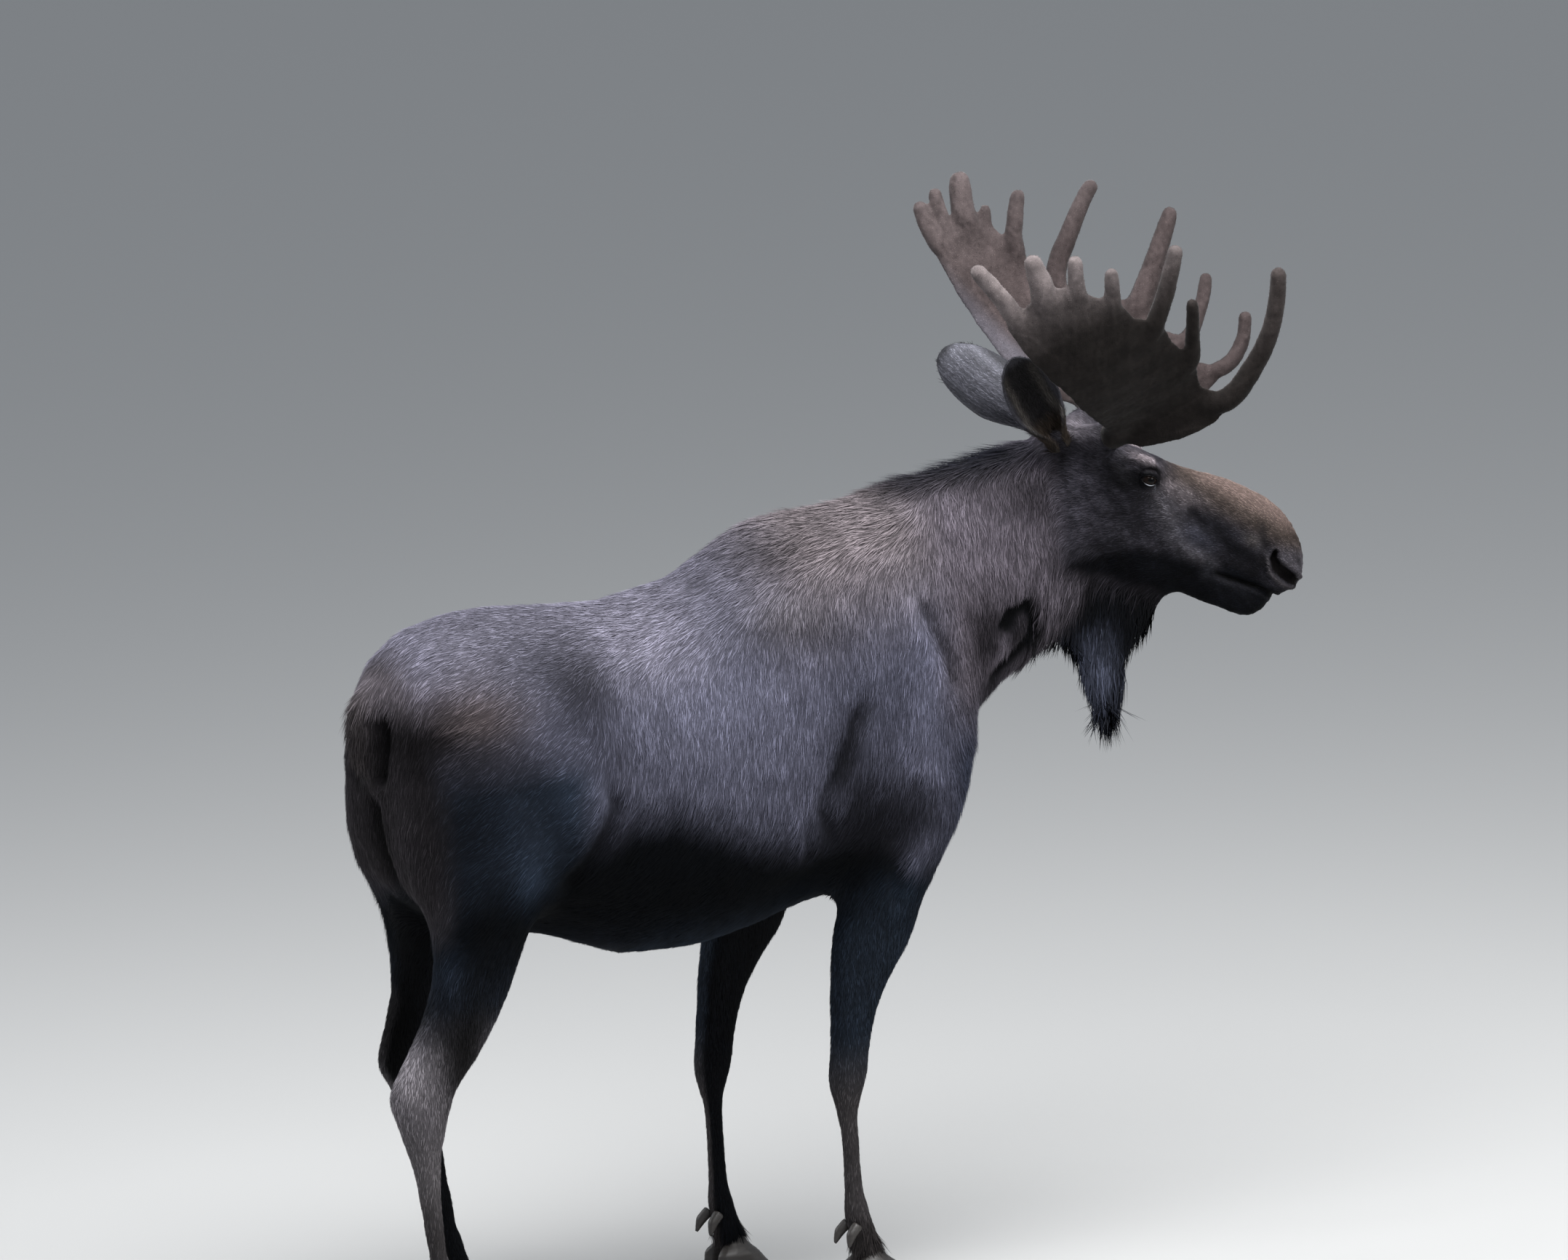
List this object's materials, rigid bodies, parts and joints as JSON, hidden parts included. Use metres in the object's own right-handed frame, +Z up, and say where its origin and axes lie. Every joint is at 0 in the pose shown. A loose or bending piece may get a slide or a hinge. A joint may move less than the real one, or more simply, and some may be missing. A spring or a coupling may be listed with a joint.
{
  "type": "moose",
  "caption": "Still life-size bull moose with antlers in velvet, standing on its hooves with its head turned to its right, for display.",
  "frame": {"origin": "centre of the bounding box's bottom face, on the floor", "axes": "+X along the trunk towards the head end, +Y to the animal's left, +Z up"},
  "size_m": [2.534, 1.1106, 2.4676],
  "materials": {
    "body_hair": "short dark charcoal-brown coat",
    "face_hair": "short brown hair",
    "leg_hair": "short grey-brown hair",
    "velvet": "antler velvet",
    "horn": "dark worn horn",
    "eye": "wet dark brown"
  },
  "bodies": {
    "root": {"trunk": "body_hair", "neck": "body_hair", "head": "face_hair", "bell": "body_hair", "tail": "body_hair", "right_ear": "face_hair", "right_eye": "eye", "right_antler_beam": "velvet", "right_antler_palm": "velvet", "right_antler_brow": "velvet", "right_fore_upper_leg": "body_hair", "right_fore_lower_leg": "leg_hair", "right_fore_pastern": "leg_hair", "right_fore_hoof_inner": "horn", "right_fore_hoof_outer": "horn", "right_fore_dewclaw_inner": "horn", "right_fore_dewclaw_outer": "horn", "right_hind_upper_leg": "body_hair", "right_hind_lower_leg": "leg_hair", "right_hind_pastern": "leg_hair", "right_hind_hoof_inner": "horn", "right_hind_hoof_outer": "horn", "right_hind_dewclaw_inner": "horn", "right_hind_dewclaw_outer": "horn", "left_ear": "face_hair", "left_eye": "eye", "left_antler_beam": "velvet", "left_antler_palm": "velvet", "left_antler_brow": "velvet", "left_fore_upper_leg": "body_hair", "left_fore_lower_leg": "leg_hair", "left_fore_pastern": "leg_hair", "left_fore_hoof_inner": "horn", "left_fore_hoof_outer": "horn", "left_fore_dewclaw_inner": "horn", "left_fore_dewclaw_outer": "horn", "left_hind_upper_leg": "body_hair", "left_hind_lower_leg": "leg_hair", "left_hind_pastern": "leg_hair", "left_hind_hoof_inner": "horn", "left_hind_hoof_outer": "horn", "left_hind_dewclaw_inner": "horn", "left_hind_dewclaw_outer": "horn"}
  },
  "joints": []
}
